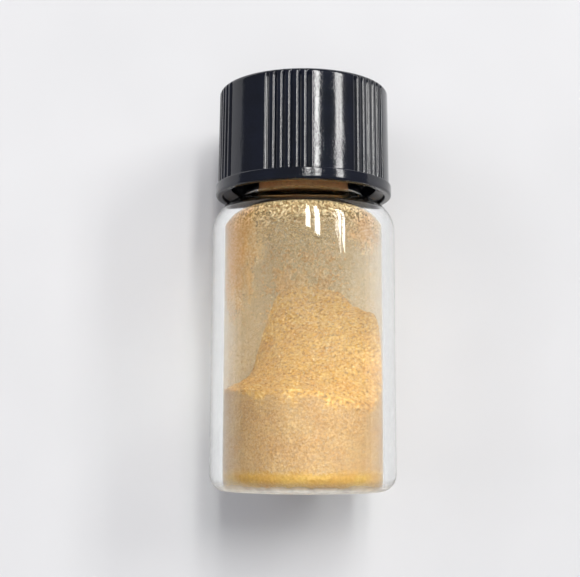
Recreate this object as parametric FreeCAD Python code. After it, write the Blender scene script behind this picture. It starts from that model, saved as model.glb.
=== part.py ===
import FreeCAD, Part
import math
import os
import random

from FreeCAD import Vector

# A glass screw-top sample vial with gold dust in it, lying on its side.
# All sizes are in millimetres. +Y runs along the vial's axis from base to cap and +Z is up.
# The origin is under the middle of the vial's length, on the surface that it lies on.
# A height is measured along the axis from the base, and a radius from the axis.

# Glass
body_diameter = 22.0
body_wall = 1.5
floor_thickness = 1.2
heel_radius = 2.0
inner_heel_radius = 1.3
push_up_diameter = 14.0
push_up_depth = 0.35
shoulder_height = 34.8
shoulder_angle = 20.0
shoulder_thickness = 0.8
shoulder_radius = 4.0
inner_shoulder_radius = 2.7
neck_fillet = 0.5
neck_diameter = 14.5
neck_bore = 10.9
throat_fillet = 1.2
finish_height = 10.4
lip_fillet = 0.45

# Screw thread: one right-hand ridge of just over a turn on the neck and one in the cap
thread_pitch = 3.175
thread_turns = 1.25
neck_thread_depth = 1.1
neck_thread_crest = 0.6
neck_thread_rise = 3.7
cap_thread_depth = 1.0
cap_thread_crest = 0.5
flank_angle = 30.0
thread_crest_clearance = 0.3
thread_flank_clearance = 0.25
fade_turns = 0.12
fade_end_share = 0.25
sections_per_turn = 24
ridge_root = 0.3

# Cap
cap_wall = 1.71
cap_draft = 0.12
cap_top_thickness = 1.45
cap_top_fillet = 0.5
skirt_clearance = 1.14
mouth_wall = 0.8
mouth_depth = 0.5
mouth_taper = 0.5
flange_height = 1.35
flange_overhang = 0.26
flange_fillet = 0.25
rib_groups = 6
ribs_in_group = 5
rib_pitch_deg = 5.4
first_group_deg = -10.2
groove_depth = 0.32
groove_radius = 0.34

# Cap liner
liner_foam_thickness = 1.25
liner_facing_thickness = 0.2
liner_clearance = 0.25

# Gold
film_gap = 0.03
film_thickness = 0.06
powder_gap = 0.12
film_top_margin = 0.6
heap_top_reach = 10.4
heap_bottom_reach = 22.4
bed_depth = 0.9
grain_count = 90
grain_corners = 5
grain_smallest = 0.22
grain_largest = 0.42
grain_thickness = 0.14
grain_tilt_deg = 16.0
grain_clearance = 0.03
grain_margin = 1.1
grain_seed = 7

# How closely an edge must match the place asked for
edge_match = 1e-4

# Worked out from the sizes above
body_radius = body_diameter / 2
bore_radius = body_radius - body_wall
neck_radius = neck_diameter / 2
neck_bore_radius = neck_bore / 2
lip_height = shoulder_height + finish_height
liner_bottom = lip_height
foam_bottom = liner_bottom + liner_facing_thickness
cap_ceiling = foam_bottom + liner_foam_thickness
overall_length = cap_ceiling + cap_top_thickness
shoulder_slope = math.tan(math.radians(shoulder_angle))
neck_thread_height = shoulder_height + neck_thread_rise
neck_crest_radius = neck_radius + neck_thread_depth
cap_bore_radius = neck_crest_radius + thread_crest_clearance
cap_crest_radius = cap_bore_radius - cap_thread_depth
flank_slope = math.tan(math.radians(flank_angle))
cap_radius = cap_bore_radius + cap_wall
flange_radius = cap_radius + flange_overhang
mouth_radius = flange_radius - mouth_wall
rim_height = shoulder_height - (mouth_radius - neck_radius) * shoulder_slope + skirt_clearance
liner_radius = cap_bore_radius - liner_clearance

axis_point = Vector(0, 0, body_radius)
axis_direction = Vector(0, 1, 0)


def spot(height, radius, turn=0.0):
    """The point at a height and radius, turned about the axis from straight up, in radians."""
    side = radius * math.sin(turn)
    rise = radius * math.cos(turn)
    return Vector(side, height - overall_length / 2, body_radius + rise)


def turned(outline):
    """The solid that a closed outline of (height, radius) corners makes, spun about the axis."""
    corners = [spot(height, radius) for height, radius in outline]
    face = Part.Face(Part.makePolygon(corners + corners[:1]))
    solid = face.revolve(axis_point, axis_direction, 360)
    return solid


def is_ring(edge, height, radius):
    """True if the edge is the circle at that height and radius."""
    if not isinstance(edge.Curve, Part.Circle):
        return False
    same_place = edge.Curve.Center.distanceToPoint(spot(height, 0)) < edge_match
    return same_place and abs(edge.Curve.Radius - radius) < edge_match


def rounded(solid, corners):
    """The solid with the circular edge at each (height, radius) rounded by a fillet."""
    for height, radius, fillet in corners:
        rings = [edge for edge in solid.Edges if is_ring(edge, height, radius)]
        solid = solid.makeFillet(fillet, rings)
    return solid


def shoulder_at(radius, neck):
    """The height of a shoulder cone at a radius, where it meets its neck at shoulder_height."""
    return shoulder_height - (radius - neck) * shoulder_slope


def cavity(gap, top):
    """The room inside the glass up to a height, taken in by a gap all round."""
    wall = bore_radius - gap
    throat = neck_bore_radius - gap
    floor = floor_thickness + gap
    sunk = gap + shoulder_thickness
    cone_wall = shoulder_at(bore_radius, neck_bore_radius) - sunk
    cone_throat = shoulder_height - sunk
    solid = turned(
        [(floor, 0), (floor, wall), (cone_wall, wall), (cone_throat, throat), (top, throat), (top, 0)]
    )
    return rounded(
        solid,
        [
            (floor, wall, inner_heel_radius),
            (cone_wall, wall, inner_shoulder_radius - gap),
            (cone_throat, throat, throat_fillet),
        ],
    )


def ridge_section(turn, height, root_radius, crest_radius, crest_width):
    """One section of a thread ridge: a flat crest, and flanks that spread down to the root."""
    half_crest = crest_width / 2
    half_root = half_crest + abs(crest_radius - root_radius) * flank_slope
    corners = [
        spot(height - half_root, root_radius, turn),
        spot(height - half_crest, crest_radius, turn),
        spot(height + half_crest, crest_radius, turn),
        spot(height + half_root, root_radius, turn),
    ]
    return Part.makePolygon(corners + corners[:1])


def thread_ridge(start_height, root_radius, crest_radius, crest_width):
    """A ridge that climbs one pitch a turn and fades out at both ends."""
    steps = round(sections_per_turn * thread_turns)
    sections = []
    for step in range(steps + 1):
        turns = thread_turns * step / steps
        to_end = min(turns, thread_turns - turns)
        share = fade_end_share + (1 - fade_end_share) * min(1, to_end / fade_turns)
        crest = root_radius + (crest_radius - root_radius) * share
        height = start_height + thread_pitch * turns
        sections.append(ridge_section(2 * math.pi * turns, height, root_radius, crest, crest_width * share))
    return Part.makeLoft(sections, True, True)


def cap_thread_height():
    """The height of the cap's ridge, so that its upper flank lies just under the neck ridge's lower one."""
    engagement = neck_crest_radius - cap_crest_radius
    half_crests = (neck_thread_crest + cap_thread_crest) / 2
    gap = thread_flank_clearance / math.cos(math.radians(flank_angle))
    return neck_thread_height - half_crests - engagement * flank_slope - gap


def make_vial_body():
    """The glass: heel, push-up, wall, shoulder, threaded neck and lip."""
    cone_wall = shoulder_at(body_radius, neck_radius)
    push_up_radius = push_up_diameter / 2
    outside = turned(
        [
            (0, 0),
            (0, body_radius),
            (cone_wall, body_radius),
            (shoulder_height, neck_radius),
            (lip_height, neck_radius),
            (lip_height, 0),
        ]
    )
    outside = rounded(
        outside,
        [
            (0, body_radius, heel_radius),
            (cone_wall, body_radius, shoulder_radius),
            (shoulder_height, neck_radius, neck_fillet),
        ],
    )
    dome_radius = (push_up_radius**2 + push_up_depth**2) / (2 * push_up_depth)
    dome = Part.makeSphere(dome_radius, spot(push_up_depth - dome_radius, 0))
    glass = outside.cut(dome).cut(cavity(0, lip_height + lip_fillet))
    glass = rounded(
        glass,
        [(lip_height, neck_radius, lip_fillet), (lip_height, neck_bore_radius, lip_fillet)],
    )
    neck_root = neck_radius - ridge_root
    return glass.fuse(thread_ridge(neck_thread_height, neck_root, neck_crest_radius, neck_thread_crest))


def make_cap_shell():
    """The black screw cap: ribbed skirt, flange at the mouth, and the thread inside."""
    flange_top = rim_height + flange_height
    shell = turned(
        [
            (rim_height, 0),
            (rim_height, flange_radius),
            (flange_top, flange_radius),
            (flange_top, cap_radius),
            (overall_length, cap_radius - cap_draft),
            (overall_length, 0),
        ]
    )
    shell = rounded(
        shell,
        [
            (rim_height, flange_radius, flange_fillet),
            (flange_top, flange_radius, flange_fillet / 2),
            (overall_length, cap_radius - cap_draft, cap_top_fillet),
        ],
    )
    bore_start = rim_height + mouth_depth + mouth_taper
    hollow = turned(
        [
            (rim_height - 1, 0),
            (rim_height - 1, mouth_radius),
            (rim_height + mouth_depth, mouth_radius),
            (bore_start, cap_bore_radius),
            (cap_ceiling, cap_bore_radius),
            (cap_ceiling, 0),
        ]
    )
    shell = shell.cut(hollow).cut(make_grooves(flange_top))
    cap_root = cap_bore_radius + ridge_root
    return shell.fuse(thread_ridge(cap_thread_height(), cap_root, cap_crest_radius, cap_thread_crest))


def make_grooves(flange_top):
    """The grooves between the ribs, one more in each group than it has ribs."""
    length = overall_length - flange_top + 1
    centre_radius = cap_radius - groove_depth + groove_radius
    grooves = []
    for group in range(rib_groups):
        middle = first_group_deg + group * 360 / rib_groups
        for groove in range(ribs_in_group + 1):
            turn = math.radians(middle + (groove - ribs_in_group / 2) * rib_pitch_deg)
            foot = spot(flange_top, centre_radius, turn)
            crown = spot(overall_length, centre_radius - cap_draft, turn)
            grooves.append(Part.makeCylinder(groove_radius, length, foot, crown - foot))
    return grooves


def make_disc(bottom, thickness, radius):
    """A plain disc square to the axis."""
    return Part.makeCylinder(radius, thickness, spot(bottom, 0), axis_direction)


def slope_fall():
    """How far the heap's slope falls back towards the base for each millimetre that it rises."""
    return (heap_bottom_reach - heap_top_reach) / (2 * bore_radius)


def slope_normal():
    """The direction that the heap's slope faces, up and towards the cap."""
    return Vector(0, 1, slope_fall()).normalize()


def on_slope(across, above_axis):
    """The point of the heap's slope at a place across the vial and above its axis."""
    height = (heap_top_reach + heap_bottom_reach) / 2 - slope_fall() * above_axis
    return Vector(across, height - overall_length / 2, body_radius + above_axis)


def make_powder():
    """The heap that fills the base end and slopes down to the lower wall, and the thin bed beyond it."""
    reach = body_diameter
    far = 2 * overall_length
    room = cavity(powder_gap, shoulder_height)
    square = ((-reach, -reach), (reach, -reach), (reach, reach), (-reach, reach), (-reach, -reach))
    slope = Part.Face(Part.makePolygon([on_slope(across, above) for across, above in square]))
    under_slope = slope.extrude(Vector(0, -far, 0))
    bed_top = body_wall + powder_gap + bed_depth
    under_bed = Part.makeBox(2 * reach, far, reach + bed_top, Vector(-reach, -far / 2, -reach))
    return room.common(under_slope).fuse(room.common(under_bed)).removeSplitter()


def make_film():
    """The thin film of dust that clings to the inside of the wall and the neck."""
    outside = cavity(film_gap, lip_height - film_top_margin)
    inside = cavity(film_gap + film_thickness, lip_height)
    return outside.cut(inside)


def make_grain(across, above_axis, chance):
    """One flake that lies on the slope: a flat plate with uneven corners, turned and tilted by chance."""
    start = chance.uniform(0, 2 * math.pi)
    outline = []
    for corner in range(grain_corners):
        angle = start + corner * 2 * math.pi / grain_corners
        reach = chance.uniform(grain_smallest, grain_largest)
        outline.append(Vector(reach * math.cos(angle), reach * math.sin(angle), 0))
    flake = Part.Face(Part.makePolygon(outline + outline[:1])).extrude(Vector(0, 0, grain_thickness))
    tilt_axis = Vector(math.cos(start), math.sin(start), 0)
    tilt = FreeCAD.Rotation(tilt_axis, chance.uniform(0, grain_tilt_deg))
    stand = FreeCAD.Rotation(Vector(0, 0, 1), slope_normal())
    lift = grain_clearance + grain_largest * math.sin(math.radians(grain_tilt_deg))
    flake.Placement = FreeCAD.Placement(on_slope(across, above_axis) + slope_normal() * lift, stand * tilt)
    return flake


def make_grains():
    """The coarse flakes, spread over the slope in a sunflower spiral and left out where the bed covers it."""
    chance = random.Random(grain_seed)
    golden_turn = math.pi * (3 - math.sqrt(5))
    spread = bore_radius - powder_gap - grain_margin
    lowest = powder_gap + bed_depth + grain_margin - bore_radius
    flakes = []
    for number in range(grain_count):
        radius = spread * math.sqrt((number + 1) / grain_count)
        across = radius * math.cos(number * golden_turn)
        above_axis = radius * math.sin(number * golden_turn)
        if above_axis > lowest:
            flakes.append(make_grain(across, above_axis, chance))
    return Part.makeCompound(flakes)


def main():
    os.makedirs("parts", exist_ok=True)
    pieces = {
        "vial_body": make_vial_body(),
        "cap_shell": make_cap_shell(),
        "liner_foam": make_disc(foam_bottom, liner_foam_thickness, liner_radius),
        "liner_facing": make_disc(liner_bottom, liner_facing_thickness, liner_radius),
        "gold_powder": make_powder(),
        "gold_grains": make_grains(),
        "gold_dust_film": make_film(),
    }
    for name, shape in pieces.items():
        shape.exportStep(f"parts/{name}.step")
        volumes = sum(solid.Volume for solid in shape.Solids)
        print(name, "solids", len(shape.Solids), "volume", round(volumes, 2), "valid", shape.isValid())
    print("rim", round(rim_height, 3), "lip", round(lip_height, 3), "length", round(overall_length, 3))


main()
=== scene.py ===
import bpy
import math
import numpy as np
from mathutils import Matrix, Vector, noise


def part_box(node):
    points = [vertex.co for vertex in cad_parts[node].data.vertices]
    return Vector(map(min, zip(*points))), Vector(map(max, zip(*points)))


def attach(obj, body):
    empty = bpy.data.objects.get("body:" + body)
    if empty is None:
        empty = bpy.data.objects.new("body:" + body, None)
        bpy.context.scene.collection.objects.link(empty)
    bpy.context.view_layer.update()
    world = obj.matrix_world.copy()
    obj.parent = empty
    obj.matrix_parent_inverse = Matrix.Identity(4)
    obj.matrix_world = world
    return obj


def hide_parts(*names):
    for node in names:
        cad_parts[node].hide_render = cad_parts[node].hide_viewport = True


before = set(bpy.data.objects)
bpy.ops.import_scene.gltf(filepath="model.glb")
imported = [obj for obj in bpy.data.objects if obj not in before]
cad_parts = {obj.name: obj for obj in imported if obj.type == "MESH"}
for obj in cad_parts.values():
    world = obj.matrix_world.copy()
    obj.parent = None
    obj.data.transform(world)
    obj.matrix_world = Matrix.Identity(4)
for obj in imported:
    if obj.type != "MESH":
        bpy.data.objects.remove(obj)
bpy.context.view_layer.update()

mm = 0.001  # everything below is written in millimetres and scaled once
vialLow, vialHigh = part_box("vial_body")
capLow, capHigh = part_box("cap_shell")
facingLow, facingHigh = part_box("liner_facing")
foamLow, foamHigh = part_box("liner_foam")
baseAt = vialLow.y / mm  # where the outer base stands along the vial's axis
axisUp = (vialLow.z + vialHigh.z) / 2 / mm  # how high the axis runs over the surface
bodyRadius = (vialHigh.x - vialLow.x) / 2 / mm
lipHeight = vialHigh.y / mm - baseAt
rimHeight = capLow.y / mm - baseAt
topHeight = capHigh.y / mm - baseAt
flangeRadius = (capHigh.x - capLow.x) / 2 / mm
linerRadius = (foamHigh.x - foamLow.x) / 2 / mm


# small tools for meshes and materials

def hexToLinear(code):
    channels = [int(code[i:i + 2], 16) / 255 for i in (1, 3, 5)]
    linear = [c / 12.92 if c <= 0.04045 else ((c + 0.055) / 1.055) ** 2.4 for c in channels]
    return (*linear, 1.0)


def smoothStep(low, high, value):
    share = np.clip((value - low) / (high - low), 0, 1)
    return share * share * (3 - 2 * share)


def roundedPath(corners, stepDegrees=6):  # corners are (height, radius, fillet)
    points = []
    for index, (height, radius, fillet) in enumerate(corners):
        here = np.array([height, radius], float)
        if fillet == 0:
            points.append(here)
            continue
        toLast = np.array(corners[index - 1][:2]) - here
        toNext = np.array(corners[index + 1][:2]) - here
        toLast /= np.linalg.norm(toLast)
        toNext /= np.linalg.norm(toNext)
        half = math.acos(float(np.clip(toLast @ toNext, -1, 1))) / 2
        middle = toLast + toNext
        centre = here + middle / np.linalg.norm(middle) * fillet / math.sin(half)
        start = here + toLast * fillet / math.tan(half) - centre
        end = here + toNext * fillet / math.tan(half) - centre
        sweep = math.pi - 2 * half
        steps = max(3, math.ceil(math.degrees(sweep) / stepDegrees))
        for step in range(steps + 1):
            share = step / steps
            mix = start * math.sin((1 - share) * sweep) + end * math.sin(share * sweep)
            points.append(centre + mix / math.sin(sweep))
    return points


def subdivided(points, longest):
    path = [points[0]]
    for last, point in zip(points, points[1:]):
        pieces = max(1, math.ceil(np.linalg.norm(point - last) / longest))
        path += [last + (point - last) * part / pieces for part in range(1, pieces + 1)]
    return path


def meshPiece(name, points, faces, material, sharpDegrees=180):
    mesh = bpy.data.meshes.new(name)
    mesh.from_pydata((np.asarray(points) * mm).tolist(), [], faces)
    mesh.polygons.foreach_set("use_smooth", [sharpDegrees > 0] * len(mesh.polygons))
    if 0 < sharpDegrees < 180:
        mesh.set_sharp_from_angle(angle=math.radians(sharpDegrees))
    mesh.materials.append(material)
    mesh.update()
    piece = bpy.data.objects.new(name, mesh)
    bpy.context.scene.collection.objects.link(piece)
    return piece


def placed(height, radius, turn):  # a turn of 0 is straight up, and grows towards +X
    along = height + baseAt + 0 * turn
    return np.stack([radius * np.sin(turn), along, axisUp + radius * np.cos(turn)], -1)


def allTurns(segments):
    return np.linspace(0, 2 * math.pi, segments, endpoint=False)


# a solid of rows round the axis, closed with a point on the axis at each end's height
def closedSkin(name, heights, radii, ends, material, sharpDegrees=180):
    rows, segments = heights.shape
    grid = placed(heights, radii, allTurns(segments)[None, :] + 0 * radii).reshape(-1, 3)
    points = np.vstack([grid] + [placed(np.array([end]), 0.0, np.zeros(1)) for end in ends])
    here = np.arange(segments)
    after = (here + 1) % segments
    top = (rows - 1) * segments
    fans = [np.stack([0 * here + len(grid), after, here], -1)]
    fans.append(np.stack([0 * here + len(grid) + 1, top + here, top + after], -1))
    below = np.arange(rows - 1)[:, None] * segments
    bands = [below + here, below + after, below + segments + after, below + segments + here]
    quads = np.stack(bands, -1).reshape(-1, 4)
    triangles = np.vstack(fans + [quads[:, :3], quads[:, [0, 2, 3]]])
    a, b, c = (points[triangles[:, corner]] for corner in range(3))
    inward = np.einsum("ij,ij->", a, np.cross(b, c)) < 0  # the faces then look into the solid
    faces = quads.tolist() + np.vstack(fans).tolist()
    if inward:
        faces = [face[::-1] for face in faces]
    return meshPiece(name, points, faces, material, sharpDegrees)


def spun(name, outline, segments, material, sharpDegrees=180, shift=None):  # outline runs from axis to axis
    heights, radii = np.array(outline).T
    turns = allTurns(segments)[None, :]
    rowHeights = heights[1:-1, None] + 0 * turns
    rowRadii = radii[1:-1, None] + 0 * turns
    if shift is not None:
        rowRadii = rowRadii + shift(rowHeights, rowRadii, turns + 0 * rowRadii)
    return closedSkin(name, rowHeights, rowRadii, (heights[0], heights[-1]), material, sharpDegrees)


def outward(points, faces):  # turns all faces round if they face into the solid
    corners = np.array([points[list(face[:3])] for face in faces])
    volume = np.einsum("ij,ij->", corners[:, 0], np.cross(corners[:, 1], corners[:, 2]))
    return faces if volume > 0 else [face[::-1] for face in faces]


def newMaterial(name):
    material = bpy.data.materials.new(name)
    material.use_nodes = True
    material.node_tree.nodes.clear()
    return material


def addNode(material, kind, settings=None, links=None):  # links are socket: value, or socket: (node, output)
    node = material.node_tree.nodes.new(kind)
    for key, value in (settings or {}).items():
        setattr(node, key, value)
    for socket, value in (links or {}).items():
        if isinstance(value, tuple) and isinstance(value[0], bpy.types.Node):
            material.node_tree.links.new(value[0].outputs[value[1]], node.inputs[socket])
        else:
            node.inputs[socket].default_value = value
    return node


def addRamp(material, source, stops):  # stops are (place, hex colour)
    ramp = addNode(material, "ShaderNodeValToRGB", links={"Fac": source})
    while len(ramp.color_ramp.elements) < len(stops):
        ramp.color_ramp.elements.new(0.5)
    for element, (place, code) in zip(ramp.color_ramp.elements, stops):
        element.position = place
        element.color = hexToLinear(code)
    return ramp


def addNoise(material, at, scale, detail):
    return addNode(material, "ShaderNodeTexNoise", links={
        "Vector": (at, "Vector"), "Scale": scale, "Detail": detail,
    })


def addBump(material, source, strength, distance):
    return addNode(material, "ShaderNodeBump", links={
        "Height": source, "Strength": strength, "Distance": distance,
    })


def addMath(material, operation, *parts):
    return addNode(material, "ShaderNodeMath", {"operation": operation}, dict(enumerate(parts)))


def stretched(material, source, first, last):  # a value from 0 to 1 brought between two others
    return addNode(material, "ShaderNodeMapRange", links={"Value": source, "To Min": first, "To Max": last})


def softStep(material, source, low, high, first, last):  # a soft step from the first value to the last
    return addNode(material, "ShaderNodeMapRange", {"interpolation_type": "SMOOTHSTEP"}, {
        "Value": source, "From Min": low, "From Max": high, "To Min": first, "To Max": last,
    })


def mixedColour(material, share, first, last):
    return addNode(material, "ShaderNodeMix", {"data_type": "RGBA"}, {"Factor": share, 6: first, 7: last})


def millimetres(material, scale=(1, 1, 1)):  # the piece's own coordinates in millimetres
    place = addNode(material, "ShaderNodeTexCoord")
    stretch = tuple(part / mm for part in scale)
    return addNode(material, "ShaderNodeMapping", links={"Vector": (place, "Object"), "Scale": stretch})


def ride(piece, body, slotName, *nodes):
    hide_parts(*nodes)
    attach(piece, body)
    return piece


# glass vial

glassVial = {
    "wall": 1.5, "floor": 0.75, "heel": 2.0, "innerHeel": 1.0,
    "pushUpRadius": 7.0, "pushUpDepth": 0.2,
    "shoulderHeight": 34.8, "shoulderAngle": 20.0, "shoulderThickness": 0.8,
    "shoulderRadius": 4.0, "innerShoulderRadius": 2.7,
    "neckRadius": 7.25, "neckBore": 5.45, "neckFillet": 0.5, "throatFillet": 1.2, "lipFillet": 0.45,
    "threadPitch": 3.175, "threadDepth": 1.1, "threadHalfWidth": 1.0, "threadRise": 3.7,
    "threadTurns": 1.25, "threadFade": 0.12, "threadRow": 0.14,
    "mattFrom": 0.1, "mattTo": 0.5, "mattFoot": 0.3, "scuffAndPaintedLightFrom": 0.2, "scuffAndPaintedLightTo": 1.6, "scuffAndPaintedLightMost": 0.9,
    "segments": 256,
}


def borosilicateGlass():  # borosilicate glass, fire-polished: clear, with a faint cool tint
    material = newMaterial("borosilicateGlassFirePolished")
    at = millimetres(material)
    ripple = addNoise(material, at, 0.12, 1.0)
    bump = addBump(material, (ripple, "Fac"), 0.02, 0.0002)
    place = addNode(material, "ShaderNodeSeparateXYZ", links={"Vector": (at, "Vector")})
    rough = addNode(material, "ShaderNodeMapRange", links={
        "Value": (place, "Y"), "From Min": baseAt + glassVial["mattFrom"],
        "From Max": baseAt + glassVial["mattTo"], "To Min": glassVial["mattFoot"], "To Max": 0.0,
    })  # the foot is slightly matt from the press, and scuffed white where it stands; that white scatter is also painted light, standing in for light the glass carries down to its foot
    worn = addNoise(material, at, 0.5, 4.0)
    scuffAndPaintedLightFrom, scuffAndPaintedLightTo = baseAt + glassVial["scuffAndPaintedLightFrom"], baseAt + glassVial["scuffAndPaintedLightTo"]
    scuffAndPaintedLightZone = softStep(material, (place, "Y"), scuffAndPaintedLightFrom, scuffAndPaintedLightTo, glassVial["scuffAndPaintedLightMost"], 0.0)
    scuffsAndPaintedLight = addMath(material, "MULTIPLY", (worn, "Fac"), (scuffAndPaintedLightZone, "Result"))
    # white scatter at the foot: partly scuffs, partly painted light for the light carried down through the
    # glass
    scatter = addNode(material, "ShaderNodeBsdfTranslucent", links={"Color": hexToLinear("#fffdf8")})
    glass = addNode(material, "ShaderNodeBsdfPrincipled", links={
        "Base Color": hexToLinear("#fbfdfc"), "Roughness": (rough, "Result"), "IOR": 1.5,
        "Transmission Weight": 1.0, "Normal": (bump, "Normal"),
    })
    body = addNode(material, "ShaderNodeMixShader", links={
        "Fac": (scuffsAndPaintedLight, "Value"), 1: (glass, "BSDF"), 2: (scatter, "BSDF"),
    })
    clear = addNode(material, "ShaderNodeBsdfTransparent", links={"Color": hexToLinear("#f4f6f5")})
    path = addNode(material, "ShaderNodeLightPath")
    mixed = addNode(material, "ShaderNodeMixShader", links={
        "Fac": (path, "Is Shadow Ray"), 1: (body, "Shader"), 2: (clear, "BSDF"),
    })  # lets the lamps light what is inside
    addNode(material, "ShaderNodeOutputMaterial", links={"Surface": (mixed, "Shader")})
    return material


def coneAt(radius, neck):
    g = glassVial
    return g["shoulderHeight"] - (radius - neck) * math.tan(math.radians(g["shoulderAngle"]))


def innerOutline(gap, top):  # the inside of the glass from the floor's middle up, taken in by a gap
    g = glassVial
    wall = bodyRadius - g["wall"] - gap
    throat = g["neckBore"] - gap
    sunk = g["shoulderThickness"] + gap
    floor = g["floor"] + gap
    return [
        (floor, 0, 0), (floor, wall, g["innerHeel"]),
        (coneAt(bodyRadius - g["wall"], g["neckBore"]) - sunk, wall, g["innerShoulderRadius"]),
        (g["shoulderHeight"] - sunk, throat, g["throatFillet"]), (top, throat, 0),
    ]


def shoulderStart():  # where the inside of the wall turns in to the shoulder
    g = glassVial
    cone = coneAt(bodyRadius - g["wall"], g["neckBore"]) - g["shoulderThickness"]
    turn = math.radians(90 - g["shoulderAngle"]) / 2
    return cone - g["innerShoulderRadius"] * math.tan(turn)


def innerWallAt(heights):  # the inner radius of the glass at each height
    path = np.array(roundedPath(innerOutline(0, lipHeight))[1:])
    return np.interp(heights, path[:, 0], path[:, 1])


def threadShift(start, depth, halfWidth, side, onThread):  # side is 1 for a ridge outside, -1 for one inside
    g = glassVial

    def shift(height, radius, turn):
        amount = 0 * height
        for lap in range(2):
            turns = turn / (2 * math.pi) + lap
            away = np.abs(height - start - g["threadPitch"] * turns)
            toEnd = np.minimum(turns, g["threadTurns"] - turns)
            ridge = np.where(away < halfWidth, 0.5 + 0.5 * np.cos(math.pi * away / halfWidth), 0)
            amount = amount + ridge ** 0.8 * smoothStep(0, g["threadFade"], toEnd)
        return np.where(onThread(height, radius), amount * depth * side, 0)

    return shift


def makeVial():
    g = glassVial
    neck = g["neckRadius"]
    ring = np.linspace(0, g["pushUpRadius"], 12)
    dome = [np.array([g["pushUpDepth"] * (1 - (r / g["pushUpRadius"]) ** 2), r]) for r in ring]
    outside = roundedPath([
        (0, g["pushUpRadius"], 0), (0, bodyRadius, g["heel"]),
        (coneAt(bodyRadius, neck), bodyRadius, g["shoulderRadius"]),
        (g["shoulderHeight"], neck, g["neckFillet"]), (lipHeight, neck, g["lipFillet"]),
        (lipHeight, g["neckBore"], g["lipFillet"]), (g["shoulderHeight"], g["neckBore"], 0),
    ])[:-1]
    inside = roundedPath(innerOutline(0, lipHeight - g["lipFillet"]))[::-1]
    isNeck = [point[0] > g["shoulderHeight"] and abs(point[1] - neck) < 0.01 for point in outside]
    firstNeck, lastNeck = isNeck.index(True), len(isNeck) - 1 - isNeck[::-1].index(True)
    neckRows = subdivided(outside[firstNeck:lastNeck + 1], g["threadRow"])
    outline = dome + outside[1:firstNeck] + neckRows + outside[lastNeck + 1:] + inside[1:]
    shift = threadShift(
        g["shoulderHeight"] + g["threadRise"], g["threadDepth"], g["threadHalfWidth"], 1,
        lambda height, radius: (height > g["shoulderHeight"]) & (np.abs(radius - neck) < 0.01),
    )
    piece = spun("glassVial", outline, g["segments"], borosilicateGlass(), shift=shift)
    return ride(piece, "vial", "clear_glass", "vial_body")


makeVial()
print("glass vial made")


# screw cap

screwCap = {
    "draft": 0.12, "topFillet": 0.5, "flangeHeight": 1.35, "flangeOverhang": 0.26, "flangeFillet": 0.25,
    "wall": 1.71, "mouthWall": 0.8, "mouthDepth": 0.5, "mouthTaper": 0.5,
    "edgeFillet": 0.12, "mouthFillet": 0.2, "ceilingFillet": 0.3,
    # the ribs fade past the last groove and near the top
    "ribFade": 0.42, "ribTop": 0.05, "ribRunOut": 0.75,
    "ribGroups": 6, "ribs": 5, "ribPitch": 5.4, "firstGroup": -10.2, "ribDepth": 0.34, "ribSharpness": 2.6,
    "threadDepth": 1.0, "threadHalfWidth": 0.9, "threadDrop": 1.25, "threadRow": 0.16,
    "segments": 1080,
}


def mouldedPhenolic():  # phenolic, compression moulded: blue-black and glossy, with a fine pebbled grain
    material = newMaterial("phenolicMouldedGlossBlack")
    at = millimetres(material)
    tint = addNoise(material, at, 0.35, 3.0)
    colour = addRamp(material, (tint, "Fac"), [(0.3, "#090d17"), (0.7, "#0f1422")])
    grain = addNoise(material, at, 4.2, 2.0)
    swell = addNoise(material, at, 0.3, 1.0)
    grainy = addNode(material, "ShaderNodeMapRange", links={
        "Value": (swell, "Fac"), "From Min": 0.4, "From Max": 0.6, "To Min": 0.3, "To Max": 1.0,
    })  # the grain is worn smooth in places
    height = addMath(material, "MULTIPLY", (grain, "Fac"), (grainy, "Result"))
    bump = addBump(material, (height, "Value"), 0.5, 0.00003)
    rough = stretched(material, (grain, "Fac"), 0.07, 0.15)
    plastic = addNode(material, "ShaderNodeBsdfPrincipled", links={
        "Base Color": (colour, "Color"), "Roughness": (rough, "Result"), "IOR": 1.55,
        "Normal": (bump, "Normal"),
    })
    addNode(material, "ShaderNodeOutputMaterial", links={"Surface": (plastic, "BSDF")})
    return material


def ribShift(capRadius, flangeTop):
    c = screwCap

    def shift(height, radius, turn):
        between = 360 / c["ribGroups"]
        fromMiddle = (np.degrees(turn) - c["firstGroup"] + between / 2) % between - between / 2
        inRibs = fromMiddle / c["ribPitch"] + c["ribs"] / 2
        across = np.abs((inRibs % 1) * 2 - 1)
        groove = across ** c["ribSharpness"]
        outer = np.maximum(-inRibs, inRibs - c["ribs"])  # how far past the last groove, in ribs
        groove = np.where(outer > 0, smoothStep(c["ribFade"], 0, outer), groove)
        ends = smoothStep(topHeight - c["ribTop"], topHeight - c["ribRunOut"], height)
        onSkirt = (height > flangeTop - 0.01) & (radius > capRadius - c["topFillet"] - 0.1)
        return np.where(onSkirt, -c["ribDepth"] * groove * ends, 0)

    return shift


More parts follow.
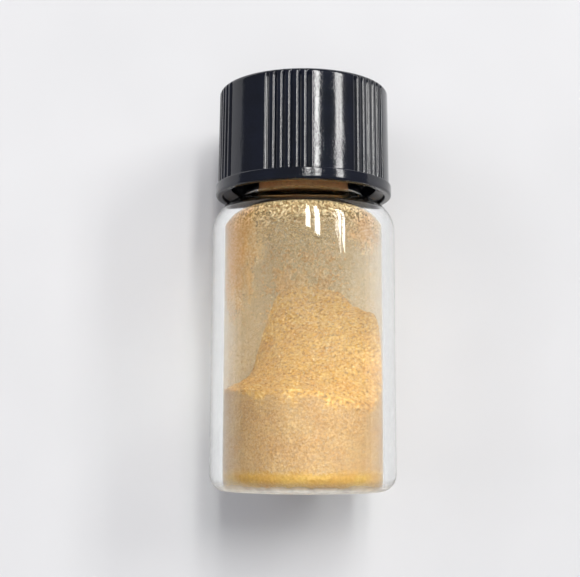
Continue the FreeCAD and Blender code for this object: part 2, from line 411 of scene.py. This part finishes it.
def makeCap():
    c = screwCap
    g = glassVial
    capRadius = flangeRadius - c["flangeOverhang"]
    flangeTop = rimHeight + c["flangeHeight"]
    bore = capRadius - c["wall"]
    mouth = flangeRadius - c["mouthWall"]
    mouthEnd = rimHeight + c["mouthDepth"]
    ceiling = foamHigh.y / mm - baseAt
    outside = roundedPath([
        (topHeight, 0, 0), (topHeight, capRadius - c["draft"], c["topFillet"]),
        (flangeTop, capRadius, c["edgeFillet"]), (flangeTop, flangeRadius, c["flangeFillet"] / 2),
        (rimHeight, flangeRadius, c["flangeFillet"]), (rimHeight, mouth, c["edgeFillet"]),
        (mouthEnd, mouth, c["mouthFillet"]), (mouthEnd + c["mouthTaper"], bore, c["mouthFillet"]),
        (ceiling, bore, c["ceilingFillet"]), (ceiling, 0, 0),
    ], stepDegrees=10)
    outline = subdivided(outside, c["threadRow"])
    outline = [p for i, p in enumerate(outline) if not (0 < i < len(outline) - 1 and p[1] < 0.05)]
    ribs = ribShift(capRadius, flangeTop)
    thread = threadShift(
        g["shoulderHeight"] + g["threadRise"] - c["threadDrop"], c["threadDepth"], c["threadHalfWidth"], -1,
        lambda height, radius: (height > rimHeight + 1) & (np.abs(radius - bore) < 0.01),
    )
    piece = spun(
        "screwCap", outline, c["segments"], mouldedPhenolic(), sharpDegrees=50,
        shift=lambda height, radius, turn: ribs(height, radius, turn) + thread(height, radius, turn),
    )
    return ride(piece, "cap", "black_plastic", "cap_shell")


makeCap()
print("screw cap made")


# cap liner

capLiner = {"edge": 0.08, "facingEdge": 0.04, "cell": 0.25, "segments": 128}


def crosslinkedFoam():  # polyethylene foam, skived: matt, off-white, with small cells open at the cut
    material = newMaterial("polyethyleneFoamSkived")
    at = millimetres(material)
    cells = addNode(material, "ShaderNodeTexVoronoi", links={
        "Vector": (at, "Vector"), "Scale": 1 / capLiner["cell"],
    })
    colour = addRamp(material, (cells, "Distance"), [(0.1, "#cfcdc6"), (0.7, "#e6e4dd")])
    bump = addBump(material, (cells, "Distance"), 0.6, 0.00005)
    foam = addNode(material, "ShaderNodeBsdfPrincipled", links={
        "Base Color": (colour, "Color"), "Roughness": 0.8, "Normal": (bump, "Normal"),
    })
    addNode(material, "ShaderNodeOutputMaterial", links={"Surface": (foam, "BSDF")})
    return material


def polyesterFacing():  # thin white polyester film, pressed on: smooth, with a soft gloss and dust prints
    material = newMaterial("polyesterFilmGlossWhite")
    at = millimetres(material)
    prints = addNoise(material, at, 0.6, 5.0)
    colour = addRamp(material, (prints, "Fac"), [(0.42, "#e9e8e4"), (0.7, "#dcc9a2")])
    rough = stretched(material, (prints, "Fac"), 0.12, 0.45)
    film = addNode(material, "ShaderNodeBsdfPrincipled", links={
        "Base Color": (colour, "Color"), "Roughness": (rough, "Result"), "IOR": 1.6,
    })
    addNode(material, "ShaderNodeOutputMaterial", links={"Surface": (film, "BSDF")})
    return material


def makeDisc(name, low, high, edge, material):
    bottom, top = low / mm - baseAt, high / mm - baseAt
    outline = roundedPath([
        (bottom, 0, 0), (bottom, linerRadius, edge), (top, linerRadius, edge), (top, 0, 0),
    ], stepDegrees=30)
    return spun(name, outline, capLiner["segments"], material, sharpDegrees=40)


def makeLiner():
    foam = makeDisc("linerFoam", foamLow.y, foamHigh.y, capLiner["edge"], crosslinkedFoam())
    ride(foam, "liner", "liner_foam", "liner_foam")
    facing = makeDisc("linerFacing", facingLow.y, facingHigh.y, capLiner["facingEdge"], polyesterFacing())
    ride(facing, "liner", "liner_facing", "liner_facing")


makeLiner()
print("cap liner made")


# gold dust

goldHeap = {
    # where the slope meets the glass: degrees from the lowest line towards +X, and height from the base
    "foot": [
        (-180, 11.4), (-110, 11.6), (-70, 11.7), (-52, 12.4), (-45, 14.0), (-42, 15.8), (-32, 20.2),
        (-26, 22.9), (-20, 25.1), (-2, 25.6), (14, 25.4), (30, 24.9), (37, 23.7), (52, 22.2), (65, 21.6),
        (80, 20.9), (92, 18.6), (104, 14.4), (118, 10.8), (135, 9.8), (155, 10.6), (180, 11.4),
    ],
    "waves": 20, "gap": 0.1,
    "lumps": [(3.2, 0.3), (1.1, 0.16), (0.34, 0.09), (0.17, 0.05)],  # each size in millimetres, and how high
    "fringe": [(1.6, 1.4), (0.45, 1.0)],  # how raggedly the coarse dust gives way to the fine on the glass
    "lumpSeed": 3.7, "fringeSeed": 2.0,
    "settledFrom": 3.4, "settledTo": 4.0, "settledRagged": 2.4,
    "pressedFrom": 0.1, "pressedTo": 1.3,  # how far under the slope's edge the dust lies pressed on the glass
    "segments": 400, "rings": 84, "wallRows": 64,
}


def goldDust():  # loose placer gold dust: warm and coarse on the slope, paler and finer against the glass
    material = newMaterial("goldDustLoose")
    at = millimetres(material)
    place = addNode(material, "ShaderNodeSeparateXYZ", links={"Vector": (at, "Vector")})
    speck = addNoise(material, at, 2.8, 3.0)
    fine = addNoise(material, at, 4.5, 2.0)
    patch = addNoise(material, at, 0.4, 3.0)
    loose = addRamp(material, (speck, "Fac"), [
        (0.34, "#88611a"), (0.43, "#c29336"), (0.52, "#d6ab52"), (0.6, "#e6c070"), (0.68, "#fbe6b4"),
    ])
    packed = addRamp(material, (fine, "Fac"), [(0.3, "#a08254"), (0.5, "#ba9868"), (0.7, "#d2b486")])
    settled = addRamp(material, (fine, "Fac"), [(0.3, "#b8923c"), (0.6, "#cfaa58")])
    pressed = addNode(material, "ShaderNodeAttribute", {"attribute_name": "pressed"})
    ragged = addMath(material, "MULTIPLY_ADD", (patch, "Fac"), goldHeap["settledRagged"], (place, "Y"))
    # the finest gold has settled at the base
    settledFrom, settledTo = baseAt + goldHeap["settledFrom"], baseAt + goldHeap["settledTo"]
    bottom = softStep(material, (ragged, "Value"), settledFrom, settledTo, 1.0, 0.0)
    low = mixedColour(material, (bottom, "Result"), (packed, "Color"), (settled, "Color"))
    grains = mixedColour(material, (pressed, "Fac"), (loose, "Color"), (low, 2))
    shade = addRamp(material, (patch, "Fac"), [(0.35, "#f6e2c6"), (0.62, "#fffaf0")])
    colour = addNode(material, "ShaderNodeMix", {"data_type": "RGBA", "blend_type": "MULTIPLY"}, {
        "Factor": 1.0, 6: (grains, 2), 7: (shade, "Color"),
    })
    metal = addNode(material, "ShaderNodeMapRange", links={
        "Value": (speck, "Fac"), "From Min": 0.5, "From Max": 0.7, "To Min": 0.1, "To Max": 0.5,
    })
    bump = addBump(material, (speck, "Fac"), 0.6, 0.00015)
    dust = addNode(material, "ShaderNodeBsdfPrincipled", links={
        "Base Color": (colour, 2), "Metallic": (metal, "Result"), "Roughness": 0.55,
        "Normal": (bump, "Normal"),
    })
    addNode(material, "ShaderNodeOutputMaterial", links={"Surface": (dust, "BSDF")})
    return material


def goldFlake():  # small native flakes: bright polished metal, each with its own depth of yellow
    material = newMaterial("goldFlakeHammered")
    each = addNode(material, "ShaderNodeNewGeometry")
    colour = addRamp(material, (each, "Random Per Island"), [
        (0.0, "#b5803a"), (0.35, "#e0a755"), (0.7, "#f3c678"), (1.0, "#fff0c8"),
    ])
    rough = stretched(material, (each, "Random Per Island"), 0.55, 0.28)
    flake = addNode(material, "ShaderNodeBsdfPrincipled", links={
        "Base Color": (colour, "Color"), "Metallic": 0.75, "Roughness": (rough, "Result"),
    })
    addNode(material, "ShaderNodeOutputMaterial", links={"Surface": (flake, "BSDF")})
    return material


def markPressed(piece, shares):  # how far the dust at each point is pressed on the glass, for its material
    piece.data.attributes.new("pressed", "FLOAT", "POINT").data.foreach_set("value", shares)


def rolledNoise(points, size, seed):  # smooth noise of about that grain size, from -1 to 1
    return np.array([noise.noise(Vector(point) / size + Vector((seed, 0, 0))) for point in points])


def slopeHeights(reach, turns):  # the slope's height from the base, smooth between its foot all round
    h = goldHeap
    samples = allTurns(360)
    fromLowest = 180 - np.degrees(samples)
    foot = np.interp(fromLowest, *np.array(h["foot"], float).T)
    parts = np.fft.rfft(foot) / len(samples)
    total = parts[0].real + 0 * reach
    for wave in range(1, h["waves"] + 1):
        swing = parts[wave].real * np.cos(wave * turns) - parts[wave].imag * np.sin(wave * turns)
        total = total + 2 * swing * reach ** wave
    return total


def slopeSurface(radii, turns):  # the slope with its lumps
    h = goldHeap
    smooth = slopeHeights(radii / (bodyRadius - glassVial["wall"]), turns)
    points = placed(smooth, radii, turns).reshape(-1, 3)
    lumps = sum(
        rise * rolledNoise(points, size, h["lumpSeed"] * index)
        for index, (size, rise) in enumerate(h["lumps"])
    )
    return smooth + lumps.reshape(smooth.shape)


def makeHeap():
    h = goldHeap
    turns = allTurns(h["segments"])[None, :]
    wall = bodyRadius - glassVial["wall"] - h["gap"]
    rings = wall * np.linspace(1, 0, h["rings"] + 1)[:-1, None]
    slope = slopeSurface(rings + 0 * turns, turns + 0 * rings)
    heel = np.array(roundedPath(innerOutline(h["gap"], shoulderStart()))[1:-1])
    heel = heel[heel[:, 0] < shoulderStart() / 2]
    start = heel[-1][0]
    rise = np.linspace(0, 1, h["wallRows"] + 1)[1:-1, None]
    heights = np.vstack([heel[:, :1] + 0 * turns, start + (slope[:1] - start) * rise, slope])
    radii = np.vstack([heel[:, 1:] + 0 * turns, wall + 0 * rise + 0 * turns, rings + 0 * turns])
    centre = float(slope[-1].mean())
    piece = closedSkin("goldHeap", heights, radii, (glassVial["floor"] + h["gap"], centre), goldDust())
    onGlass = placed(heights, wall, turns + 0 * heights).reshape(-1, 3)
    ragged = sum(rise * rolledNoise(onGlass, size, h["fringeSeed"]) for size, rise in h["fringe"])
    under = slope[:1] - heights + ragged.reshape(heights.shape)
    shares = smoothStep(h["pressedFrom"], h["pressedTo"], under) * (radii > wall - 0.01)
    shares[:len(heel)] = 1
    markPressed(piece, np.append(shares.ravel(), (1, 0)))
    return ride(piece, "vial", "gold_dust", "gold_powder")


goldBed = {
    "low": 20.5, "high": 31.0, "halfTurn": 38, "depth": 0.3, "rows": 120, "columns": 160, "gap": 0.08,
    "clumps": (1.6, 5.0), "grains": (0.35, 9.0),  # the size of each noise in millimetres, and its seed
    "body": 0.5, "clumped": 1.0, "grained": 0.5, "bare": 0.2, "thinnest": 0.05, "endFade": 3,
}


def raggedSheet(over, under, kept):  # a closed sheet between two grids of points, of the kept cells only
    rows, columns = kept.shape[0] + 1, kept.shape[1] + 1
    count = rows * columns
    framed = np.pad(kept, 1)
    faces = []
    for row, column in zip(*np.nonzero(kept)):
        a = int(row) * columns + int(column)
        ring = [a, a + 1, a + columns + 1, a + columns]
        faces += [ring, [count + corner for corner in ring[::-1]]]
        around = [
            framed[row, column + 1], framed[row + 1, column + 2],
            framed[row + 2, column + 1], framed[row + 1, column],
        ]
        for side, neighbour in enumerate(around):
            if not neighbour:
                start, end = ring[side], ring[(side + 1) % 4]
                faces.append([start, count + start, count + end, end])
    used = sorted({corner for face in faces for corner in face})
    renumbered = {corner: index for index, corner in enumerate(used)}
    points = np.vstack([over, under])[used]
    return points, [[renumbered[corner] for corner in face] for face in faces]


def makeBed():  # the thin ragged bed of dust on the lowest part of the wall, beyond the foot of the slope
    b = goldBed
    wall = bodyRadius - glassVial["wall"] - b["gap"]
    along = np.linspace(0, 1, b["rows"])[:, None]
    across = np.linspace(-1, 1, b["columns"])[None, :]
    heights = b["low"] + (b["high"] - b["low"]) * along + 0 * across
    turns = math.pi - np.radians(b["halfTurn"]) * across + 0 * along
    there = placed(heights, wall, turns).reshape(-1, 3)
    lumps, fine = (
        rolledNoise(there, size, seed).reshape(heights.shape) for size, seed in (b["clumps"], b["grains"])
    )
    middle = (1 - across ** 2) * np.minimum(1, b["endFade"] * (1 - along))
    share = middle * (b["body"] + b["clumped"] * lumps) + b["grained"] * fine - b["bare"]
    depth = b["depth"] * np.clip(share, b["thinnest"], 1)
    outer = np.minimum(wall, innerWallAt(heights) - b["gap"])
    over, under = (placed(heights, radii, turns).reshape(-1, 3) for radii in (outer - depth, outer))
    kept = share > 0
    cells = kept[:-1, :-1] & kept[1:, :-1] & kept[:-1, 1:] & kept[1:, 1:]
    points, faces = raggedSheet(over, under, cells)
    piece = meshPiece("goldBed", points, outward(points, faces), goldDust())
    markPressed(piece, np.ones(len(points)))
    return ride(piece, "vial", "gold_dust", "gold_powder")


goldFlakes = {
    "onSlope": 5200, "onBed": 900, "onWall": 1500, "smallest": 0.035, "largest": 0.17, "flat": 0.45,
    "uneven": (0.6, 1.25), "fewLarge": 3, "gap": 0.14, "seed": 11,
    "bedSpread": 0.7, "bedLift": 0.15,  # how wide they lie over the bed, and how much higher
    # those on the wall thin out below the top, and one that would be too low is put high up instead
    "wallTop": 34.2, "wallFade": 6.0, "wallLowest": 8, "wallInstead": 33, "wallSize": 0.6,
}


def flakeShapes(count, chance):  # uneven eight-sided flakes, each turned its own way
    corners = np.array([(1, 0, 0), (-1, 0, 0), (0, 1, 0), (0, -1, 0), (0, 0, 1), (0, 0, -1)], float)
    shapes = corners[None] * chance.uniform(*goldFlakes["uneven"], (count, 6, 1))
    shapes[:, :, 2] *= goldFlakes["flat"]
    spin = chance.normal(size=(count, 3, 3))
    turned = np.linalg.qr(spin)[0]
    return np.einsum("nij,nkj->nki", turned, shapes)


def makeFlakes():
    f = goldFlakes
    chance = np.random.default_rng(f["seed"])
    wall = bodyRadius - glassVial["wall"] - f["gap"]
    reach = wall * np.sqrt(chance.uniform(0, 1, f["onSlope"]))
    turns = chance.uniform(0, 2 * math.pi, f["onSlope"])
    slopeReach, slopeTurns = reach[:, None], turns[:, None]
    slope = placed(slopeSurface(slopeReach, slopeTurns), slopeReach, slopeTurns).reshape(-1, 3)
    bedTurns = math.pi + np.radians(goldBed["halfTurn"]) * chance.normal(0, f["bedSpread"], f["onBed"])
    bedHeights = chance.uniform(goldBed["low"], goldBed["high"], f["onBed"])
    bed = placed(bedHeights, innerWallAt(bedHeights) - f["gap"] - f["bedLift"], bedTurns)
    wallTurns = chance.uniform(0, 2 * math.pi, f["onWall"])
    wallHeights = f["wallTop"] - chance.exponential(f["wallFade"], f["onWall"])
    wallHeights = np.where(wallHeights < f["wallLowest"], f["wallInstead"], wallHeights)
    onWall = placed(wallHeights, innerWallAt(wallHeights) - f["gap"], wallTurns)
    places = np.vstack([slope, bed, onWall])
    sizes = chance.uniform(0, 1, len(places)) ** f["fewLarge"]
    sizes = f["smallest"] + (f["largest"] - f["smallest"]) * sizes
    sizes[-f["onWall"]:] *= f["wallSize"]
    points = (flakeShapes(len(places), chance) * sizes[:, None, None] + places[:, None]).reshape(-1, 3)
    sides = np.array([(0, 2, 4), (2, 1, 4), (1, 3, 4), (3, 0, 4), (2, 0, 5), (1, 2, 5), (3, 1, 5), (0, 3, 5)])
    faces = (sides[None] + 6 * np.arange(len(places))[:, None, None]).reshape(-1, 3).tolist()
    piece = meshPiece("goldFlakes", points, faces, goldFlake(), sharpDegrees=0)
    return ride(piece, "vial", "gold_flake", "gold_grains")


dustFilm = {
    "gap": 0.03, "thickness": 0.05, "topMargin": 0.6, "segments": 192,
    "glow": 0.5, "veil": 0.19, "speckled": 0.4, "speckledFrom": 29.5, "speckledTo": 32.6,
    "clearBelow": 2.6, "clearFade": 0.8, "clearShare": 0.1,  # the film thins out to this share near the base
    "underside": 0.22, "undersideFrom": -7.0, "undersideTo": 3.0,  # more lies low down: heights from the axis
    "patchRagged": 2.0, "patchCore": 0.2,
    # the neck holds dense dust; the pale tan it is given below is partly painted light
    "neck": 0.9, "neckFrom": 34.6, "neckTo": 35.2,
    # patches of thicker dust: turn from straight up, height, reach, how much they add, share of full length
    "goldPatch": (-50, 27.8, 4.6, 0.5, 0.45), "rosePatch": (46, 29.8, 3.2, 0.3, 1.0),
}


def patchAt(material, patch):  # what a patch of thicker dust adds: most in its middle, its edge ragged
    turn, height, reach, amount, squash = patch
    wall = bodyRadius - glassVial["wall"]
    middle = placed(np.array(height), wall, np.radians(turn)) * (1, squash, 1)
    at = millimetres(material, (1, squash, 1))
    away = addNode(material, "ShaderNodeVectorMath", {"operation": "DISTANCE"}, {
        0: (at, "Vector"), 1: tuple(float(part) for part in middle),
    })
    ragged = addNoise(material, at, 0.9, 3.0)
    edge = stretched(material, (ragged, "Fac"), -dustFilm["patchRagged"], dustFilm["patchRagged"])
    near = addMath(material, "ADD", (away, "Value"), (edge, "Result"))
    return softStep(material, (near, "Value"), reach * dustFilm["patchCore"], reach, amount, 0.0)


def clingingDust():  # the finest gold, held on the glass by static: a thin veil of specks
    d = dustFilm
    material = newMaterial("goldDustFilmClinging")
    at = millimetres(material)
    runs = millimetres(material, (1, 0.08, 1))
    place = addNode(material, "ShaderNodeSeparateXYZ", links={"Vector": (at, "Vector")})
    speck = addNoise(material, at, 4.0, 3.0)
    cloud = addNoise(material, at, 0.16, 3.0)
    streak = addNoise(material, runs, 1.1, 2.0)

    def combined(operation, *parts):
        total = parts[0]
        for part in parts[1:]:
            total = (addMath(material, operation, total, part), "Value")
        return total

    zone = softStep(material, (place, "Y"), d["speckledFrom"] + baseAt, d["speckledTo"] + baseAt, 0.0, 1.0)
    neck = softStep(material, (place, "Y"), d["neckFrom"] + baseAt, d["neckTo"] + baseAt, 0.0, d["neck"])
    under = softStep(
        material, (place, "Z"), axisUp + d["undersideFrom"], axisUp + d["undersideTo"], d["underside"], 0.0,
    )
    clearFrom = d["clearBelow"] - d["clearFade"] + baseAt
    low = softStep(material, (place, "Y"), clearFrom, d["clearBelow"] + baseAt, d["clearShare"], 1.0)
    gold = patchAt(material, d["goldPatch"])
    rose = patchAt(material, d["rosePatch"])
    soft = stretched(material, (cloud, "Fac"), -0.1, 0.1)
    long = stretched(material, (streak, "Fac"), -0.06, 0.06)
    contrast = stretched(material, (zone, "Result"), 0.25, 2.6)
    dots = combined("MULTIPLY", combined("SUBTRACT", (speck, "Fac"), 0.5), (contrast, "Result"))
    denser = combined("MULTIPLY", (zone, "Result"), d["speckled"] - d["veil"])
    total = combined(
        "ADD", (soft, "Result"), (long, "Result"), dots, denser, (neck, "Result"), (under, "Result"),
        (gold, "Result"), (rose, "Result"), d["veil"],
    )
    cover = addNode(material, "ShaderNodeMath", {"operation": "MULTIPLY", "use_clamp": True}, {
        0: total, 1: (low, "Result"),
    })
    pale = addRamp(material, (speck, "Fac"), [(0.3, "#dcb878"), (0.5, "#f2daac"), (0.7, "#fff6e0")])
    olive = addRamp(material, (speck, "Fac"), [(0.4, "#7d682c"), (0.5, "#dcc088"), (0.6, "#fcecc6")])
    colour = mixedColour(material, (zone, "Result"), (pale, "Color"), (olive, "Color"))
    tinted = mixedColour(material, (gold, "Result"), (colour, 2), hexToLinear("#e2a32e"))
    rosy = mixedColour(material, (rose, "Result"), (tinted, 2), hexToLinear("#b85c30"))
    # the dust in the neck is dense and painted a pale tan: partly its own colour, partly painted light, as
    # little light reaches it under the cap
    tan = mixedColour(material, (neck, "Result"), (rosy, 2), hexToLinear("#ffdcae"))
    dust = addNode(material, "ShaderNodeBsdfPrincipled", links={
        "Base Color": (tan, 2), "Metallic": 0.05, "Roughness": 0.6,
    })
    through = addNode(material, "ShaderNodeBsdfTranslucent", links={"Color": (tan, 2)})
    lit = addNode(material, "ShaderNodeMixShader", links={
        "Fac": d["glow"], 1: (dust, "BSDF"), 2: (through, "BSDF"),
    })
    clear = addNode(material, "ShaderNodeBsdfTransparent")
    veil = addNode(material, "ShaderNodeMixShader", links={
        "Fac": (cover, "Value"), 1: (clear, "BSDF"), 2: (lit, "Shader"),
    })  # light from behind shows through the specks as well
    addNode(material, "ShaderNodeOutputMaterial", links={"Surface": (veil, "Shader")})
    return material


def makeFilm():
    d = dustFilm
    top = lipHeight - d["topMargin"]
    outside = roundedPath(innerOutline(d["gap"], top))
    inside = roundedPath(innerOutline(d["gap"] + d["thickness"], top))
    outline = outside + inside[::-1]
    piece = spun("dustFilm", outline, d["segments"], clingingDust())
    return ride(piece, "vial", "gold_dust", "gold_dust_film")


makeHeap()
makeBed()
print("gold heap and bed made")
makeFlakes()
makeFilm()
print("gold flakes and dust film made")


# stage, lights and camera

stage = {
    "floor": 3.0, "roomColour": "#eeeff8", "overhead": 0.25, "horizon": 0.2,
    "brightSide": (0.9, 0.1, 0.0), "sideLight": 0.08,  # the room is brighter on this side, low down
    "sideFrom": 0.45, "sideTo": 0.95,
}


def paperFloor():  # smooth white card with a faint mottled shade
    material = newMaterial("whiteCardMatt")
    at = millimetres(material)
    mottle = addNoise(material, at, 0.04, 2.0)
    colour = addRamp(material, (mottle, "Fac"), [(0.3, "#e2e2e3"), (0.7, "#e7e7e8")])
    card = addNode(material, "ShaderNodeBsdfPrincipled", links={
        "Base Color": (colour, "Color"), "Roughness": 0.85,
    })
    addNode(material, "ShaderNodeOutputMaterial", links={"Surface": (card, "BSDF")})
    return material


def makeFloor():
    reach = stage["floor"] / mm / 2
    corners = [(-reach, -reach, 0), (reach, -reach, 0), (reach, reach, 0), (-reach, reach, 0)]
    meshPiece("floor", corners, [(0, 1, 2, 3)], paperFloor(), sharpDegrees=0)


def makeWorld():
    world = bpy.data.worlds.new("softRoom")
    world.use_nodes = True
    world.node_tree.nodes.clear()
    direction = addNode(world, "ShaderNodeTexCoord")
    parts = addNode(world, "ShaderNodeSeparateXYZ", links={"Vector": (direction, "Generated")})
    towards = addNode(world, "ShaderNodeVectorMath", {"operation": "DOT_PRODUCT"}, {
        0: (direction, "Generated"), 1: stage["brightSide"],
    })
    room = addNode(world, "ShaderNodeMapRange", links={
        "Value": (parts, "Z"), "From Min": 0.1, "From Max": 0.8,
        "To Min": stage["horizon"], "To Max": stage["overhead"],
    })
    side = softStep(world, (towards, "Value"), stage["sideFrom"], stage["sideTo"], 0.0, stage["sideLight"])
    strength = addMath(world, "ADD", (room, "Result"), (side, "Result"))
    air = addNode(world, "ShaderNodeBackground", links={
        "Color": hexToLinear(stage["roomColour"]), "Strength": (strength, "Value"),
    })
    addNode(world, "ShaderNodeOutputWorld", links={"Surface": (air, "Background")})
    bpy.context.scene.world = world


# each window pane: degrees from overhead towards +X, width in degrees, start along +Y, brightness
panes = [
    {"name": "nearPaneLeft", "lean": 6.0, "wide": 5.5, "near": 0.245, "bright": 18.4},
    {"name": "nearPaneRight", "lean": 17.5, "wide": 5.5, "near": 0.245, "bright": 22.6},
    {"name": "farPaneLeft", "lean": 45.5, "wide": 3.6, "near": 0.33, "bright": 18.4},
    {"name": "farPaneRight", "lean": 50.5, "wide": 3.6, "near": 0.33, "bright": 18.4},
]
paneHeight, paneFar = 1.0, 1.1  # metres over the floor, and along +Y


# soft light off the walls of the room, too broad to show as a shape in the gloss: place, size and brightness
fills = [
    {"name": "roomFillLeft", "place": (-1.1, 0.3, 0.5), "size": 1.0, "bright": 1.7},
    {"name": "roomFillNear", "place": (0.0, -0.4, 1.0), "size": 0.8, "bright": 0.6},
]


def makeFill(fill):
    light = bpy.data.lights.new(fill["name"], "AREA")
    light.size = fill["size"]
    light.energy = fill["bright"] * math.pi * fill["size"] ** 2
    light.color = hexToLinear("#fbfbff")[:3]
    lamp = bpy.data.objects.new(fill["name"], light)
    lamp.location = fill["place"]
    lamp.rotation_euler = Vector(fill["place"]).to_track_quat("Z", "Y").to_euler()
    lamp.visible_glossy = False
    lamp.visible_transmission = False
    bpy.context.scene.collection.objects.link(lamp)


def makePane(pane):
    lean = math.radians(pane["lean"])
    across = paneHeight * math.tan(lean)
    width = 2 * math.tan(math.radians(pane["wide"] / 2)) * paneHeight / math.cos(lean) ** 2
    light = bpy.data.lights.new(pane["name"], "AREA")
    light.shape = "RECTANGLE"
    light.size, light.size_y = width, paneFar - pane["near"]
    light.energy = pane["bright"] * math.pi * width * light.size_y
    light.color = hexToLinear("#fffefc")[:3]
    lamp = bpy.data.objects.new(pane["name"], light)
    lamp.location = (across, (pane["near"] + paneFar) / 2, paneHeight)
    bpy.context.scene.collection.objects.link(lamp)


photoView = {
    "across": 0.35, "fromBase": 5.67, "overAxis": 132.89, "tilt": (0.137, 0.014, 0.004),
    "focalPixels": 1115.8, "frameWide": 580, "sensor": 36.0,
}


def makeCamera():
    data = bpy.data.cameras.new("photoCamera")
    data.sensor_width = photoView["sensor"]
    data.lens = photoView["focalPixels"] / photoView["frameWide"] * photoView["sensor"]
    data.clip_start = 0.01
    camera = bpy.data.objects.new("photoCamera", data)
    place = (photoView["across"], baseAt + photoView["fromBase"], axisUp + photoView["overAxis"])
    camera.location = Vector(place) * mm
    camera.rotation_euler = photoView["tilt"]
    bpy.context.scene.collection.objects.link(camera)
    bpy.context.scene.camera = camera


makeFloor()
makeWorld()
for pane in panes:
    makePane(pane)
for fill in fills:
    makeFill(fill)
makeCamera()
bpy.context.scene.view_settings.view_transform = "Standard"
print("stage, lights and camera made")
